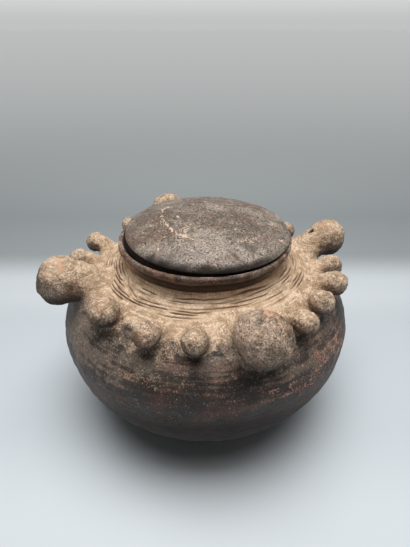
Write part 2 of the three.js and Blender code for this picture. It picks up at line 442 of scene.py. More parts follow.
class StageSettings(bpy.types.PropertyGroup):
    """The camera at the photograph's place, the soft lights, and the paper under the jar with its
    painted light and shade.
    """

    camera_place: FloatVectorProperty(
        name="Camera place",
        description="Where the camera stands",
        subtype="TRANSLATION",
        default=(0.0, -0.3364, 0.3517),
    )
    camera_pitch: FloatProperty(
        name="Camera pitch",
        description="How far the camera looks down",
        subtype="ANGLE",
        default=math.radians(32.0),
    )
    lens: FloatProperty(
        name="Lens",
        description="Focal length on a 36 mm sensor, in millimetres",
        default=26.33,
    )
    key_place: FloatVectorProperty(
        name="Overhead place",
        description="Where the soft light overhead hangs",
        subtype="TRANSLATION",
        default=(0.0, -0.1, 1.1),
    )
    key_power: FloatProperty(
        name="Overhead light",
        description="Power of the soft light overhead, in watts",
        default=2.2,
    )
    window_power: FloatProperty(
        name="High window",
        description="Strength of the even, soft light from straight above",
        default=1.5,
    )
    window_angle: FloatProperty(
        name="Window width",
        description="How wide the high window looks from the jar",
        subtype="ANGLE",
        default=math.radians(50.0),
    )
    window_lean: FloatProperty(
        name="Window lean",
        description="How far the high window stands to the right of straight overhead",
        subtype="ANGLE",
        default=math.radians(3.0),
    )
    fill: FloatProperty(
        name="Fill",
        description="Strength of the light from higher up, as a share of the horizon's",
        default=0.22,
    )
    horizon: FloatProperty(
        name="Horizon",
        description="Strength of the light along the far edge of the floor",
        default=0.58,
    )
    air: FloatVectorProperty(
        name="Air",
        description="Colour of the light from all round",
        subtype="COLOR",
        default=linear("#f4f8f6"),
    )
    # Painted shade behind the jar: where it begins and where it is full
    turn_start: FloatProperty(
        name="Paper turns at",
        description="Distance behind the jar's middle where the paper starts to turn grey",
        default=0.2,
        unit="LENGTH",
    )
    turn_end: FloatProperty(
        name="Paper grey at",
        description="Distance behind the jar's middle where the paper is grey",
        default=0.3,
        unit="LENGTH",
    )
    paper_pale: FloatVectorProperty(
        name="Pale paper",
        description="Paper in front of the jar and close behind it",
        subtype="COLOR",
        default=linear("#d6dce0"),
    )
    # Painted shadow beside the jar
    paper_painted_shadow: FloatVectorProperty(
        name="Shaded paper",
        description="Paper beside the jar, a little darker",
        subtype="COLOR",
        default=linear("#ccd3d8"),
    )
    # Painted shade behind the jar
    paper_back_shade: FloatVectorProperty(
        name="Grey paper",
        description="Paper behind the jar",
        subtype="COLOR",
        default=linear("#a3a9ab"),
    )
    # Painted light far behind the jar
    paper_far_light: FloatVectorProperty(
        name="Far paper",
        description="Paper far behind the jar",
        subtype="COLOR",
        default=linear("#f4f7f6"),
    )


def ripple(points, wavelength, seed, waves=28):
    """A smooth random field in space, about one high, with bumps about a wavelength apart."""
    draw = np.random.default_rng(seed)
    ways = draw.normal(size=(waves, 3))
    ways /= np.linalg.norm(ways, axis=1)[:, None]
    ways *= 2 * math.pi / wavelength * draw.uniform(0.7, 1.3, (waves, 1))
    starts = draw.uniform(0, 2 * math.pi, waves)
    total = np.zeros(points.shape[:-1])
    for way, start in zip(ways, starts):
        total += np.cos(points @ way + start)
    return total / math.sqrt(waves / 2)


def smooth_step(low, high, value):
    """0 below low, 1 above high and a smooth turn between them."""
    share = np.clip((value - low) / (high - low), 0, 1)
    return share * share * (3 - 2 * share)


def turn_from(bearing, at):
    """How far bearings lie round from another, at most half a turn either way."""
    return (bearing - at + math.pi) % (2 * math.pi) - math.pi


def spot_gap(points, place, size):
    """Distance of points from the middle of a spot, against its radius, both in millimetres."""
    return np.linalg.norm(points - np.array(place) * MM, axis=-1) / (size * MM)


def round_wave(bearing, seed, turns=6):
    """A smooth random wave round the jar, about one high, that meets itself."""
    draw = np.random.default_rng(seed)
    total = np.zeros_like(bearing)
    for k in range(1, turns + 1):
        total += draw.normal() * np.cos(k * bearing + draw.uniform(0, 2 * math.pi))
    return total / math.sqrt(turns / 2)


def unit(vectors):
    """The vectors at length one."""
    return vectors / np.maximum(np.linalg.norm(vectors, axis=-1, keepdims=True), 1e-12)


def ellipse_arc(wide, high, middle, start, end, spacing):
    """Points of an ellipse about (0, middle) from one radius to another, evenly turned."""
    first, last = math.acos(min(1, start / wide)), math.acos(min(1, end / wide))
    steps = max(2, int(abs(last - first) * max(wide, abs(high)) / spacing))
    turn = np.linspace(first, last, steps + 1)
    return np.stack([wide * np.cos(turn), middle + high * np.sin(turn)], 1)


def straight(start, end, spacing):
    """Points of a straight stretch of an outline."""
    start, end = np.array(start, float), np.array(end, float)
    steps = max(1, int(round(np.linalg.norm(end - start) / spacing)))
    return start + (end - start) * np.linspace(0, 1, steps + 1)[:, None]


def curve(points, spacing):
    """Points of a quadratic or cubic curve that an outline's corners pull."""
    points = np.array(points, float)
    length = np.linalg.norm(np.diff(points, axis=0), axis=1).sum()
    share = np.linspace(0, 1, max(3, int(length / spacing)) + 1)[:, None]
    points = list(points)
    while len(points) > 1:
        points = [a * (1 - share) + b * share for a, b in zip(points, points[1:])]
    return points[0]


def chain(*runs):
    """Joins stretches of an outline and drops the repeated corners."""
    joined = [runs[0]]
    for run in runs[1:]:
        joined.append(run[1:])
    return np.concatenate(joined)


def turn_outline(outline, columns):
    """Turns an outline of radii and heights round the axis. Gives points, normals and bearings."""
    bearing = np.linspace(0, 2 * math.pi, columns, endpoint=False)
    along = np.gradient(outline, axis=0)
    facing = unit(np.stack([along[:, 1], -along[:, 0]], 1))
    cos, sin = np.cos(bearing)[None, :], np.sin(bearing)[None, :]
    points = np.stack(
        [outline[:, :1] * cos, outline[:, :1] * sin, outline[:, 1:] + 0 * cos], -1
    )
    normals = np.stack([facing[:, :1] * cos, facing[:, :1] * sin, facing[:, 1:] + 0 * cos], -1)
    return points, normals, np.broadcast_to(bearing, points.shape[:2])


def make_skin(name, grid, first_pole=None, last_pole=None, **attributes):
    """Makes a mesh object from rows of points that close round, with a point at an end that has
    a pole. Each attribute holds one number for each point of the rows."""
    rows, columns = grid.shape[:2]
    points = grid.reshape(-1, 3)
    index = np.arange(rows * columns).reshape(rows, columns)
    after = np.roll(index, -1, axis=1)
    quads = np.stack([index[:-1], after[:-1], after[1:], index[1:]], -1).reshape(-1, 4)
    faces = quads.tolist()
    for pole, row, turn in ((first_pole, 0, 1), (last_pole, rows - 1, -1)):
        if pole is not None:
            tip = len(points)
            points = np.vstack([points, pole])
            pairs = np.stack([after[row], index[row]], 1)[:, ::turn]
            faces += [[tip, int(a), int(b)] for a, b in pairs]
    mesh = bpy.data.meshes.new(name)
    mesh.from_pydata(points.tolist(), [], faces)
    for key, values in attributes.items():
        flat = values.reshape(-1)
        extra = len(points) - len(flat)
        flat = np.concatenate([flat, np.full(extra, flat[-1])])
        made = mesh.attributes.new(key, "FLOAT", "POINT")
        made.data.foreach_set("value", flat.astype(np.float32))
    mesh.shade_smooth()
    made = bpy.data.objects.new(name, mesh)
    bpy.context.scene.collection.objects.link(made)
    return made


def shoulder_height(sizes, radius):
    """Height of the smooth shoulder at a distance from the axis."""
    inside = np.clip(1 - (radius / sizes.belly_radius) ** 2, 0, 1)
    return sizes.belly_height + sizes.shoulder_rise * np.sqrt(inside)


def shoulder_normal(sizes, points):
    """Direction that the smooth shoulder faces."""
    level = points[..., :2] / sizes.belly_radius**2
    up = (points[..., 2:] - sizes.belly_height) / sizes.shoulder_rise**2
    return unit(np.concatenate([level, up], -1))


def patch(points, places):
    """Soft patches on the vessel. Each place is a bearing, a height, a half-length, a half-height
    and a strength."""
    radius = np.hypot(points[..., 0], points[..., 1])
    bearing = np.arctan2(points[..., 1], points[..., 0])
    total = np.zeros_like(radius)
    for at, height, wide, tall, strength in places:
        along = turn_from(bearing, math.radians(at)) * radius / (wide * MM)
        across = (points[..., 2] - height * MM) / (tall * MM)
        total += strength * np.exp(-(along**2) - across**2)
    return total


# Where the wall stands out from a true turned one, or lies flatter: bearing in degrees, height,
# half-length and half-height in millimetres, and how far
BELLY_LEAN = (
    (200, 118, 70, 34, -1.6),
    (-25, 112, 60, 30, -0.6),
    (-90, 38, 120, 34, 1.3),
)


def hand_marks(points):
    """How far the hand-built wall stands out from a true turned form."""
    slow = 0.22 * ripple(points, 110 * MM, 14)
    dents = 0.20 * ripple(points, 34 * MM, 12)
    dabs = 0.13 * ripple(points, 11 * MM, 13) + 0.05 * ripple(points, 5 * MM, 15)
    lean = patch(points, BELLY_LEAN)
    return (slow + dents + dabs + lean) * MM


# Stray strokes across the lines: from one bearing to another in degrees, distances from the neck
# in millimetres, and how deep against a line
STRAY_LINES = (
    (200, 226, 7, 23, 0.8),
    (208, 238, 4, 17, 0.8),
    (214, 236, 13, 21, 0.7),
    (228, 262, 8, 19, 0.6),
    (186, 206, 6, 19, 0.5),
    (296, 326, 5, 17, 0.5),
    (322, 348, 9, 20, 0.6),
    (40, 62, 8, 19, 0.6),
    (118, 150, 6, 18, 0.6),
)


def line_cut(lines, sizes, points, bearing):
    """Depth of the scratched lines: each wanders, fades and bites again as the stick went."""
    radius = np.hypot(points[..., 0], points[..., 1])
    cut = np.zeros_like(radius)
    for k in range(lines.count):
        wander = 0.42 * MM * round_wave(bearing, 40 + k, 11)
        wander += 0.10 * MM * round_wave(bearing, 140 + k, 44)
        drift = 0.9 * MM * round_wave(bearing, 60, 3)
        middle = sizes.neck_radius + lines.first + k * lines.pitch + wander + drift
        bite = np.clip(0.75 + 0.5 * round_wave(bearing, 80 + k, 18), 0.0, 1.35)
        across = (radius - middle) / (lines.width / 2)
        cut += lines.depth * bite * np.exp(-(across**2))
        burr = np.exp(-((np.abs(across) - 1.8) ** 2) * 3)
        cut -= 0.25 * lines.depth * bite * burr
    for start, end, first, last, strength in STRAY_LINES:
        share = (bearing - math.radians(start)) % (2 * math.pi) / math.radians(end - start)
        middle = sizes.neck_radius + (first + (last - first) * share) * MM
        middle += 0.3 * MM * round_wave(bearing, 160 + start, 30)
        bite = strength * smooth_step(0, 0.2, share) * smooth_step(1, 0.8, share)
        cut += lines.depth * bite * np.exp(-(((radius - middle) / (lines.width / 2)) ** 2))
    return cut


def scratched_shoulder(sizes, lines, points, bearing, lines_show=1.0):
    """Moves points of the smooth outside to the hand-made surface."""
    normals = shoulder_normal(sizes, points)
    out = hand_marks(points) - lines_show * line_cut(lines, sizes, points, bearing)
    return points + normals * out[..., None]


# How near an outline comes to the axis, where one point closes the skin
AXIS_GAP = 2 * MM


def vessel_outline(sizes, lines):
    """The vessel's outline from the middle of the base, out and up to the neck's edge, and the
    rest of it from there over the neck's top and down the inside."""
    belly, middle = sizes.belly_radius, sizes.belly_height
    neck_top = BELLY_HIGH.z
    bowl = middle / math.sqrt(1 - (sizes.base_radius / belly) ** 2)
    lines_end = sizes.neck_radius + lines.first + (lines.count + 0.5) * lines.pitch
    foot = sizes.neck_radius + 7 * MM
    neck = sizes.neck_radius + 1.2 * MM
    mouth = sizes.neck_radius - 6.5 * MM
    outside = chain(
        straight((AXIS_GAP, 0), (sizes.base_radius - 2 * MM, 0), 3 * MM),
        ellipse_arc(belly, -bowl, middle, sizes.base_radius, belly, 2.0 * MM),
        ellipse_arc(belly, sizes.shoulder_rise, middle, belly, lines_end, 1.5 * MM),
        ellipse_arc(belly, sizes.shoulder_rise, middle, lines_end, foot, 0.38 * MM),
        curve(
            [
                (foot, float(shoulder_height(sizes, foot))),
                (foot - 4.5 * MM, float(shoulder_height(sizes, foot - 3 * MM))),
                (neck, neck_top),
            ],
            0.7 * MM,
        ),
    )
    wide = belly - sizes.wall
    shoulder = sizes.shoulder_rise - sizes.wall
    deep = bowl - sizes.wall
    floor_radius = wide * math.sqrt(1 - ((middle - sizes.floor_thickness) / deep) ** 2)
    inner_top = middle + shoulder * math.sqrt(1 - (mouth / wide) ** 2)
    inside = chain(
        straight((neck, neck_top), (mouth, neck_top), 1.5 * MM),
        straight((mouth, neck_top), (mouth, inner_top), 3 * MM),
        ellipse_arc(wide, shoulder, middle, mouth, wide, 6 * MM),
        ellipse_arc(wide, -deep, middle, wide, floor_radius, 6 * MM),
        straight((floor_radius, sizes.floor_thickness), (AXIS_GAP, sizes.floor_thickness), 8 * MM),
    )
    return outside, inside


def knob_heads(kind="knob"):
    """Centre and radius of each knob's head: a sphere fitted to the solid's outer points."""
    heads = {}
    for name in sorted(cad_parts):
        if name.startswith(kind):
            points = np.array([v.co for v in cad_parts[name].data.vertices])
            reach = np.hypot(points[:, 0], points[:, 1])
            tip = points[reach > np.quantile(reach, 0.8)]
            matrix = np.column_stack([2 * tip, np.ones(len(tip))])
            found = np.linalg.lstsq(matrix, (tip**2).sum(1), rcond=None)[0]
            centre = found[:3]
            heads[name] = centre, math.sqrt(found[3] + centre @ centre)
    return heads


def under_knobs(points):
    """1 below each knob and 0 between the knobs: where shade under the knobs is painted, as thinner
    earth and darker clay.
    """
    radius = np.hypot(points[..., 0], points[..., 1])
    bearing = np.arctan2(points[..., 1], points[..., 0])
    shade = np.zeros_like(radius)
    for centre, ball in knob_heads().values():
        aside = turn_from(bearing, math.atan2(centre[1], centre[0])) * radius
        shade = np.maximum(shade, np.exp(-((aside / (0.9 * ball)) ** 2)))
    return shade


# Patches on the vessel: bearing in degrees, height, half-length and half-height in millimetres, and
# how strong. Dust lies thinly below the knobs, the bowl is darker in broad patches, most of all low
# at the front, the clay is lighter or darker, and the burnished skin is worn through to orange.
DUSTY_PATCHES = (
    (-137, 133, 46, 13, -0.3),
    (-110, 131, 20, 7, 0.16),
    (-84, 146, 9, 9, -0.4),
    (-60, 132, 24, 7, 0.14),
    (20, 130, 60, 12, 0.2),
    (120, 130, 90, 12, 0.25),
)
DARKER_PATCHES = (
    (-86, 84, 110, 22, 0.66),
    (-90, 62, 100, 21, 0.74),
    (60, 80, 90, 30, 0.4),
    (150, 70, 60, 30, 0.3),
)
CLAY_TONES = (
    (-140, 126, 60, 22, 0.24),
    (-110, 131, 24, 9, 0.12),
    (-45, 120, 36, 14, 0.1),
    (-88, 117, 70, 7, -0.14),
)
WORN_PATCHES = (
    (-43, 121, 26, 12, 0.62),
    (-57, 109, 28, 5, 0.5),
    (-30, 110, 14, 14, 0.36),
    (-66, 116, 18, 5, 0.42),
    (-113, 125, 30, 4, 0.46),
    (-80, 128, 18, 4, 0.3),
    (-98, 117, 20, 5, 0.2),
    (100, 120, 30, 10, 0.5),
    (165, 112, 34, 8, 0.5),
    (30, 118, 20, 8, 0.6),
)

# Heights between which the earth goes from none to full, and the painted shade under the knobs from
# none to full and, higher up, back to none
EARTH_EDGE = (133 * MM, 156 * MM)
KNOB_SHADE_FOOT = (122 * MM, 140 * MM)
KNOB_SHADE_TOP = (157 * MM, 143 * MM)


def clay_cover(points):
    """Earth and darkening on the vessel's outside: earth on the shoulder, painted shade below the
    knobs as thinner earth and darker clay, and the bowl's darker patches.
    """
    height = points[..., 2]
    shade = under_knobs(points) * smooth_step(95 * MM, 110 * MM, height)
    runs = 2.6 * MM * ripple(points, 22 * MM, 21) + 1.2 * MM * ripple(points, 9 * MM, 22)
    # The earth thins below the knobs: painted shade
    earth = smooth_step(*EARTH_EDGE, height + runs - 6 * MM * shade)
    earth += patch(points, DUSTY_PATCHES)
    # Painted shade under the knobs, with the bowl's darker patches over it
    soot = 0.1 * shade * smooth_step(*KNOB_SHADE_TOP, height) * smooth_step(*KNOB_SHADE_FOOT, height)
    return np.minimum(earth, 1), np.maximum(soot, patch(points, DARKER_PATCHES))


class JAR_OT_body(bpy.types.Operator):
    """Build the round vessel with its scratched lines"""

    bl_idname = "clay_jar.body"
    bl_label = "Vessel"

    def execute(self, context):
        sizes, lines = context.scene.clay_jar, context.scene.clay_jar_lines
        outside, inside = vessel_outline(sizes, lines)
        points, normals, bearing = turn_outline(outside, sizes.columns)
        above = points[..., 2] > sizes.belly_height
        on_base = smooth_step(0, 14 * MM, points[..., 2])
        near_neck = smooth_step(BELLY_HIGH.z, BELLY_HIGH.z - 6 * MM, points[..., 2])
        cut = line_cut(lines, sizes, points, bearing) * above
        out = hand_marks(points) * on_base * (0.25 + 0.75 * near_neck) - cut
        skin = points + normals * out[..., None]
        lining, _, _ = turn_outline(inside[1:], sizes.columns)
        bare = np.zeros(lining.shape[:2])

        earth, soot = clay_cover(points)
        worn = patch(points, WORN_PATCHES) * (0.8 + 0.3 * ripple(points, 14 * MM, 23))
        tone = patch(points, CLAY_TONES) - 0.14 * smooth_step(120 * MM, 104 * MM, points[..., 2])
        piece = make_skin(
            "burnished_vessel",
            np.concatenate([skin, lining]),
            (0, 0, 0),
            (0, 0, sizes.floor_thickness),
            earth=np.concatenate([earth, bare]),
            groove=np.concatenate([np.clip(cut / lines.depth, 0, 1), bare]),
            worn=np.concatenate([np.clip(worn, 0, 1), bare]),
            soot=np.concatenate([soot, bare]),
            tone=np.concatenate([tone, bare]),
        )
        piece.data.materials.append(burnished_earthenware(context.scene.clay_jar_colours))
        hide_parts("jar_body")
        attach(piece, "jar")
        return {"FINISHED"}


def collar_outline(sizes):
    """The collar's outline, from the outer foot up over the lip and down the bore."""
    foot, lip = COLLAR_LOW.z, COLLAR_HIGH.z
    lip_radius = COLLAR_HIGH.x
    foot_radius = lip_radius - sizes.flare
    bore = lip_radius - sizes.lip_width
    mouth = foot_radius - sizes.foot_width
    lip_foot = lip - sizes.lip_height
    crest = lip_radius - 2.6 * MM
    bore_edge = lip - 2.0 * MM
    return chain(
        curve(
            [
                (foot_radius, foot),
                (foot_radius - 0.3 * MM, (foot + lip) / 2),
                (lip_radius, lip_foot),
            ],
            0.7 * MM,
        ),
        curve(
            [
                (lip_radius, lip_foot),
                (lip_radius + 0.3 * MM, lip - 0.4 * MM),
                (crest, lip),
            ],
            0.35 * MM,
        ),
        curve(
            [
                (crest, lip),
                (bore, lip),
                (bore, bore_edge),
            ],
            0.35 * MM,
        ),
        straight((bore, bore_edge), (mouth, foot), 1.0 * MM),
        straight((mouth, foot), (foot_radius, foot), 1.5 * MM)[:-1],
    )


class JAR_OT_collar(bpy.types.Operator):
    """Build the flared collar that the lid sits in"""

    bl_idname = "clay_jar.collar"
    bl_label = "Collar"

    def execute(self, context):
        sizes = context.scene.clay_jar_collar
        points, normals, bearing = turn_outline(collar_outline(sizes), sizes.columns)
        height = smooth_step(COLLAR_LOW.z, COLLAR_HIGH.z, points[..., 2])
        outward = (normals[..., :2] * points[..., :2]).sum(-1) / COLLAR_HIGH.x
        outside = smooth_step(-0.2, 0.4, outward)
        out = 0.30 * ripple(points, 40 * MM, 31) + 0.14 * ripple(points, 9 * MM, 32)
        grid = points + normals * (out * MM * (0.1 + 0.9 * outside))[..., None]
        grid[..., 2] += 0.35 * MM * height * round_wave(bearing, 33, 4)
        grid = np.concatenate([grid, grid[:1]])
        height = np.concatenate([height, height[:1]])
        outside = np.concatenate([outside, outside[:1]])
        # Painted shade: at the front the wall under the lip and the lip's face are darkened and the
        # sides keep more earth and a lighter tone, and all round the collar's inside below the
        # crest is darkened
        front = smooth_step(-0.2, -0.95, np.sin(bearing))
        front = np.concatenate([front, front[:1]])
        earth = 0.8 * smooth_step(0.42, 0.0, height) + 0.35 * (1 - front)
        # A pale line along the lip's crest: rubbed wear and a painted highlight
        across = np.hypot(grid[..., 0], grid[..., 1]) - COLLAR_HIGH.x + 3.3 * MM
        edge = np.exp(-((across / (0.8 * MM)) ** 2)) * smooth_step(0.9, 0.98, height)
        worn = edge * (0.4 + 0.25 * ripple(grid, 16 * MM, 34))
        soot = 0.85 * front * smooth_step(0.8, 0.35, height)
        soot += 0.16 * front * smooth_step(0.6, 0.9, height) * (1 - edge)
        piece = make_skin(
            "flared_collar",
            grid,
            earth=earth * outside,
            groove=0 * earth,
            worn=np.clip(worn, 0, 1),
            soot=np.maximum(soot, smooth_step(0.96, 0.88, height) * (1 - outside)),
            tone=0.1 * (1 - front) + 0 * height,
        )
        piece.data.materials.append(smoked_collar(context.scene.clay_jar_colours))
        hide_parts("rim_collar")
        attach(piece, "jar")
        return {"FINISHED"}


def lid_outline(sizes):
    """The lid's outline: from under the dome's middle, down the flange, round and over."""
    foot, radius, crown = LID_LOW.z, sizes.radius, sizes.crown
    underside = foot + sizes.flange_depth
    rise = LID_HIGH.z - underside - sizes.edge
    flange = sizes.flange_low
    side = sizes.flange_high
    bore = flange - sizes.flange_width
    turned_edge = radius - sizes.turned_edge
    toe = 2 * MM
    heel = foot + 5 * MM
    brim = underside + 1.0 * MM

    def dome(r):
        """Height of the dome's curve at a distance from its middle."""
        return underside + sizes.edge + rise * (1 - (r / radius) ** crown)

    hollow = np.linspace(AXIS_GAP, bore, 24)
    under = np.stack([hollow, dome(hollow) - sizes.wall], 1)
    slope = -crown * rise * (turned_edge / radius) ** (crown - 1) / radius
    shoulder = np.array([turned_edge, dome(turned_edge)])
    over = np.linspace(turned_edge, AXIS_GAP, 74)
    return chain(
        under,
        straight((bore, under[-1, 1]), (bore, foot + toe), 2 * MM),
        curve([(bore, foot + toe), (bore, foot), (bore + toe, foot)], 0.6 * MM),
        straight((bore + toe, foot), (flange, foot), 1.5 * MM),
        straight((flange, foot), (side, heel), 1.2 * MM),
        straight((side, heel), (side, underside), 1.5 * MM),
        curve(
            [
                (side, underside),
                (radius - 0.4 * MM, underside - 0.1 * MM),
                (radius, brim),
            ],
            0.4 * MM,
        ),
        curve(
            [
                (radius, brim),
                (radius - 0.1 * MM, underside + 5.2 * MM),
                shoulder + np.array([7.0 * MM, 7.0 * MM * slope]),
                shoulder,
            ],
            0.6 * MM,
        ),
        np.stack([over, dome(over)], 1),
    )


# Marks on the lid, in millimetres from the middle of its dome, with their half-widths
LID_SCRATCH = ((-36, 29), (-42, 20), (-43, 5), (-36, -17), (-31, -27), (-20, -38), (-13, -42))
LID_CHIPS = (
    (-27, -2, 2.6),
    (-39, 24, 2.2),
    (-14, 27, 1.8),
    (-2, 37, 1.6),
    (-23, -35, 1.8),
    (-40, -51, 1.5),
    (62, -30, 2.0),
    (30, 22, 1.5),
)
LID_CRACK = ((15, -54), (21, -59), (25, -63), (32, -69))

# Where the lid is lighter or darker: place and radius in millimetres, and how much. The lighter
# spots at the front are a painted sheen.
LID_TONES_AND_SHEEN = (
    (8, -54, 20, 0.13),
    (-3, -38, 18, 0.05),
    (-60, -26, 22, -0.16),
    (-52, 12, 24, -0.08),
    (50, -28, 20, -0.06),
    (12, 50, 34, -0.06),
)


def path_distance(places, path):
    """Distance of points in a plane from a path of straight stretches."""
    path = np.array(path) * MM
    nearest = np.full(places.shape[:-1], np.inf)
    for start, end in zip(path[:-1], path[1:]):
        way = end - start
        share = np.clip((places - start) @ way / (way @ way), 0, 1)
        gap = np.linalg.norm(places - start - share[..., None] * way, axis=-1)
        nearest = np.minimum(nearest, gap)
    return nearest


def spots(points, places):
    """Soft round spots. Each is a place and a radius in millimetres, and a strength."""
    total = np.zeros(points.shape[:-1])
    for *place, size, strength in places:
        total += strength * np.exp(-(spot_gap(points, place, size) ** 2))
    return total


def lid_marks(points):
    """The lid's pale scratch and chips, and its dark crack, each from none to full."""
    level = points[..., :2] + 0.6 * MM * np.stack(
        [ripple(points, 5 * MM, 55), ripple(points, 5 * MM, 56)], -1
    )
    flicker = np.clip(0.9 + 0.45 * ripple(points, 5 * MM, 57), 0, 1)
    marks = np.exp(-((path_distance(level, LID_SCRATCH) / (1.15 * MM)) ** 2)) * flicker
    for *place, size in LID_CHIPS:
        chip = smooth_step(1.3, 0.4, spot_gap(level, place, size))
        marks = np.maximum(marks, 0.9 * chip)
    crack = np.exp(-((path_distance(level, LID_CRACK) / (1.0 * MM)) ** 2))
    return marks, crack


class JAR_OT_lid(bpy.types.Operator):
    """Build the loose domed lid"""

    bl_idname = "clay_jar.lid"
    bl_label = "Lid"

    def execute(self, context):
        sizes = context.scene.clay_jar_lid
        points, normals, bearing = turn_outline(lid_outline(sizes), sizes.columns)
        radius = np.hypot(points[..., 0], points[..., 1])
        underside = LID_LOW.z + sizes.flange_depth
        domed = smooth_step(underside - 1 * MM, underside, points[..., 2])
        outer = smooth_step(0, 0.4, normals[..., 2]) * domed
        out = 0.32 * ripple(points, 60 * MM, 51) + 0.14 * ripple(points, 18 * MM, 52)
        out += 0.06 * ripple(points, 7 * MM, 53)
        marks, crack = (mark * outer for mark in lid_marks(points))
        out -= 0.35 * marks + 0.6 * crack
        grid = points + normals * (out * outer * MM)[..., None]
        grid[..., 2] -= grid[..., 0] * math.tan(sizes.tilt) * domed
        grid[..., 0] += sizes.shift * domed
        # Painted shade: a ragged band along the front of the rim, and every face that turns
        # sideways or down, such as the rim's underside and the flange
        front = smooth_step(-0.45, -0.95, np.sin(bearing))
        shade_reach = radius + 0.8 * MM * ripple(points, 15 * MM, 59)
        soot = 1.15 * smooth_step(67.4 * MM, 78.4 * MM, shade_reach) * front
        soot = np.maximum(soot, smooth_step(0.4, -0.1, normals[..., 2]))
        piece = make_skin(
            "domed_lid",
            grid,
            grid[0].mean(0),
            grid[-1].mean(0),
            earth=np.clip(0.12 * ripple(points, 30 * MM, 58), 0, 1) * outer,
            groove=crack,
            worn=marks,
            soot=soot,
            tone=spots(points[..., :2], LID_TONES_AND_SHEEN),
        )
        piece.data.materials.append(smoothed_lid(context.scene.clay_jar_colours))
        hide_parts("lid")
        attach(piece, "lid")
        return {"FINISHED"}


def bezier(points, share):
    """Points and directions along a quadratic curve."""
    a, b, c = points
    share = share[:, None]
    place = a * (1 - share) ** 2 + 2 * b * share * (1 - share) + c * share**2
    way = 2 * (b - a) * (1 - share) + 2 * (c - b) * share
    return place, unit(way)


def smeared_skirt(rim, rim_normal, neck_ring, facing):
    """Rows of points from a knob's rim on the vessel up a hollow curve to a ring of its neck."""
    rise = neck_ring - rim
    pull = np.linalg.norm(rise, axis=1)[:, None]
    inward = unit(rise - rim_normal * (rise * rim_normal).sum(1)[:, None])
    rows = [rim - rim_normal * 1.2 * MM]
    for t in np.linspace(0, 1, 19)[:-1]:
        from_rim = 2 * t**3 - 3 * t**2 + 1
        leaving = t**3 - 2 * t**2 + t
        arriving = t**3 - t**2
        row = rim * from_rim + inward * pull * 1.1 * leaving
        row += neck_ring * (1 - from_rim) + facing * pull * 0.9 * arriving
        rows.append(row)
    rows[1] = rows[1] - rim_normal * 0.25 * MM
    return rows


def finger_lumps(grid, ball, seed):
    """How far the lumps that the fingers left stand out: none on the skirt, full on the head."""
    from_skirt = np.linspace(0, 1, len(grid))[:, None]
    lumps = 0.02 * ball * ripple(grid, 1.6 * ball, seed + 100)
    lumps += 0.014 * ball * ripple(grid, 0.6 * ball, seed + 200)
    lumps += 0.16 * MM * ripple(grid, 4.5 * MM, seed + 300)
    return lumps * smooth_step(0.06, 0.36, from_skirt)


def knob_grid(sizes, lines, knobs, head, ball, neck, skirt, columns, seed):
    """Rows of points of one knob, from its smeared skirt over the neck to the head's tip."""
    bearing = math.atan2(head[1], head[0])
    out = np.array([math.cos(bearing), math.sin(bearing), 0])
    side = np.array([-math.sin(bearing), math.cos(bearing), 0])
    ring = sizes.belly_radius - knobs.inset
    root = out * ring + np.array([0, 0, shoulder_height(sizes, ring)])
    normal = shoulder_normal(sizes, root)
    down = np.cross(side, normal)
    turn = np.linspace(0, 2 * math.pi, columns, endpoint=False)
    cos, sin = np.cos(turn)[:, None], np.sin(turn)[:, None]

    # Middle line of the knob
    bend = root + normal * knobs.root_bend
    share = np.linspace(0, 1, 25)
    line, _ = bezier((root, bend, head), share)
    steps = np.concatenate([[0], np.cumsum(np.linalg.norm(np.diff(line, axis=0), axis=1))])
    reach = steps[-1]

    def ring_at(height, radius):
        """A ring of the knob at a height along its middle line, and the way it faces."""
        at = np.clip(np.interp(height, steps, share), 0, 1)
        place, facing = bezier((root, bend, head), np.array([at]))
        place, facing = place[0] + facing[0] * max(0, height - reach), facing[0]
        low = np.cross(side, facing)
        return place + radius * (cos * low + sin * side), facing

    def girth(height):
        """Radius at a height: the neck below, the head above and a soft turn between."""
        round_part = math.sqrt(max(0, ball**2 - (reach - height) ** 2))
        blend = 0.16 * ball
        return 0.5 * (neck + round_part + math.hypot(neck - round_part, blend))

    # Smeared skirt, from the vessel's surface to the neck
    spread = neck + skirt * (1 + 0.16 * round_wave(turn, seed, 4))
    level = root + spread[:, None] * (cos * down + sin * side)
    rim = level.copy()
    rim[:, 2] = shoulder_height(sizes, np.hypot(level[:, 0], level[:, 1]))
    about = np.arctan2(rim[:, 1], rim[:, 0])
    rim = scratched_shoulder(sizes, lines, rim, about, 0.6)
    rim_normal = shoulder_normal(sizes, rim)
    neck_height = min(0.42 * reach, skirt)
    neck_ring, facing = ring_at(neck_height, girth(neck_height))
    rows = smeared_skirt(rim, rim_normal, neck_ring, facing)

    # Neck and head
    for height in np.linspace(neck_height, reach, 16):
        rows.append(ring_at(height, girth(height))[0])
    widest = girth(reach)
    for t in np.linspace(0, math.pi / 2, 27)[1:-1]:
        rows.append(ring_at(reach + ball * math.sin(t), widest * math.cos(t))[0])
    grid = np.array(rows)

    normals = grid_normals(grid)
    grid = grid + normals * finger_lumps(grid, ball, seed)[..., None]
    last = grid[-1].mean(0)
    tip = last + (last - head) * 0.002
    on_head = smooth_step(1.5, 1.05, np.linalg.norm(grid - head, axis=-1) / ball)
    return grid, tip, on_head, normals


def grid_normals(grid):
    """Outward directions of rows of points that close round."""
    around = np.roll(grid, -1, axis=1) - np.roll(grid, 1, axis=1)
    along = np.gradient(grid, axis=0)
    return unit(np.cross(around, along))


# Radius of the smooth head under its lumps, as a share of the fitted sphere's
HEAD_SHARE = 0.975

# Neck radius as a share of the head's radius
NECK_SHARES = {
    "knob_big_front": 0.80,
    "knob_big_right": 0.84,
    "knob_big_back": 0.78,
    "knob_big_left": 0.84,
}
SMALL_NECK_SHARE = 0.88

